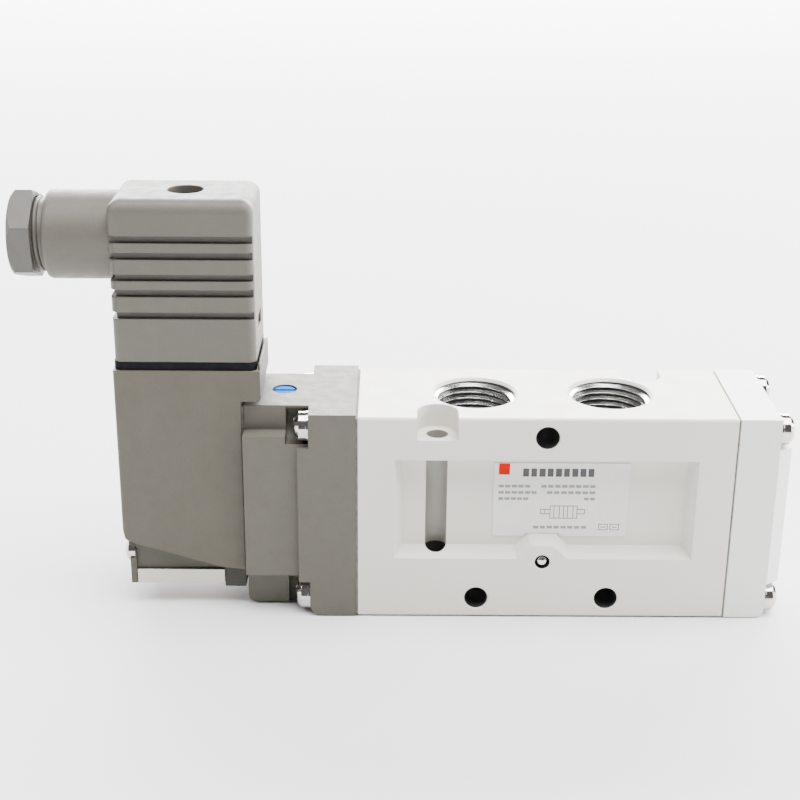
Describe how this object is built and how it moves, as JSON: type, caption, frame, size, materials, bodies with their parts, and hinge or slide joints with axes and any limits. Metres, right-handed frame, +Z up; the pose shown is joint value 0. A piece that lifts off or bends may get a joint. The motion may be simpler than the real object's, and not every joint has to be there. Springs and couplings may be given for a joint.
{
  "type": "solenoid directional valve",
  "caption": "Spool valve body with threaded air ports, an end cover, a pilot solenoid and a plug-on connector with a cable gland; it switches compressed air between two outlets.",
  "frame": {"origin": "centre of the valve body's bottom face", "axes": "+X along the spool towards the end cover, +Z up towards the outlet ports, -Y towards the label side"},
  "size_m": [0.1561, 0.029, 0.087],
  "materials": {
    "body_paint": "satin light warm grey paint over die-cast aluminium",
    "cover_paint": "satin off-white paint over die-cast aluminium",
    "label": "printed foil",
    "ball_steel": "polished ball",
    "spool_alu": "turned",
    "seal_rubber": "moulded",
    "gasket_rubber": "flat sheet",
    "black_gasket": "flat sheet",
    "piston_plastic": "moulded",
    "spring_steel": "drawn wire",
    "screw_chrome": "bright plated",
    "taupe_plastic": "fine grain",
    "housing_plastic": "fine grain",
    "base_plastic": "fine grain",
    "button_blue": "smooth",
    "strip_steel": "zinc plated",
    "seat_brass": "turned",
    "armature_steel": "ground",
    "tube_brass": "drawn",
    "bobbin_plastic": "moulded",
    "winding_copper": "enamelled copper wire",
    "black_plastic": "glass filled",
    "blade_tin": "tinned",
    "connector_plastic": "fine grain",
    "nut_plastic": "fine grain",
    "washer_plastic": "smooth"
  },
  "bodies": {
    "valve": {"valve_body": "body_paint", "nameplate": "label", "passage_ball": "ball_steel", "return_spring": "spring_steel", "end_cover": "cover_paint", "end_cover_gasket": "gasket_rubber", "end_cover_screws": "screw_chrome", "adapter_gasket": "gasket_rubber", "adapter_screws": "screw_chrome", "pilot_adapter": "taupe_plastic", "override_spring": "spring_steel", "pilot_housing": "housing_plastic", "pilot_base": "base_plastic", "retaining_plate": "strip_steel", "pilot_gasket": "gasket_rubber", "pilot_screws": "screw_chrome", "pilot_seat": "seat_brass", "armature_spring": "spring_steel", "core_tube": "tube_brass", "fixed_core": "armature_steel", "coil_bobbin": "bobbin_plastic", "coil_winding": "winding_copper", "solenoid_yoke": "strip_steel", "terminal_block": "black_plastic", "terminal_blades": "blade_tin", "connector_gasket": "black_gasket"},
    "spool_set": {"spool": "spool_alu", "spool_seals": "seal_rubber", "drive_piston": "piston_plastic", "piston_seal": "seal_rubber"},
    "armature_set": {"armature": "armature_steel", "poppet_seal": "seal_rubber"},
    "override": {"override_button": "button_blue", "override_oring": "seal_rubber"},
    "connector": {"connector_housing": "connector_plastic", "connector_insert": "black_plastic", "contact_clips": "seat_brass", "terminal_screws": "strip_steel", "connector_screw": "strip_steel", "connector_screw_seal": "seal_rubber", "gland_grommet": "seal_rubber"},
    "gland_turn": {"gland_nut": "nut_plastic", "gland_washer": "washer_plastic"}
  },
  "joints": [
    {"name": "spool_slide", "type": "slide", "parent": "valve", "child": "spool_set", "axis": [1, 0, 0], "range_m": [0, 0.005], "stiffness_N_per_m": 1200, "springref_m": -0.006, "deforming": ["return_spring"]},
    {"name": "armature_slide", "type": "slide", "parent": "valve", "child": "armature_set", "axis": [0, 0, 1], "range_m": [0, 0.00095], "stiffness_N_per_m": 500, "springref_m": -0.003, "deforming": ["armature_spring"]},
    {"name": "override_press", "type": "slide", "parent": "valve", "child": "override", "axis": [0, 0, -1], "range_m": [0, 0.0015], "stiffness_N_per_m": 800, "springref_m": -0.002, "deforming": ["override_spring"]},
    {"name": "connector_unplug", "type": "slide", "parent": "valve", "child": "connector", "axis": [0, 0, 1], "range_m": [0, 0.02]},
    {"name": "gland_nut_turn", "type": "hinge", "parent": "connector", "child": "gland_turn", "pos_m": [-0.104, 0, 0.0778], "axis": [-1, 0, 0], "range_deg": [0, 360]}
  ]
}
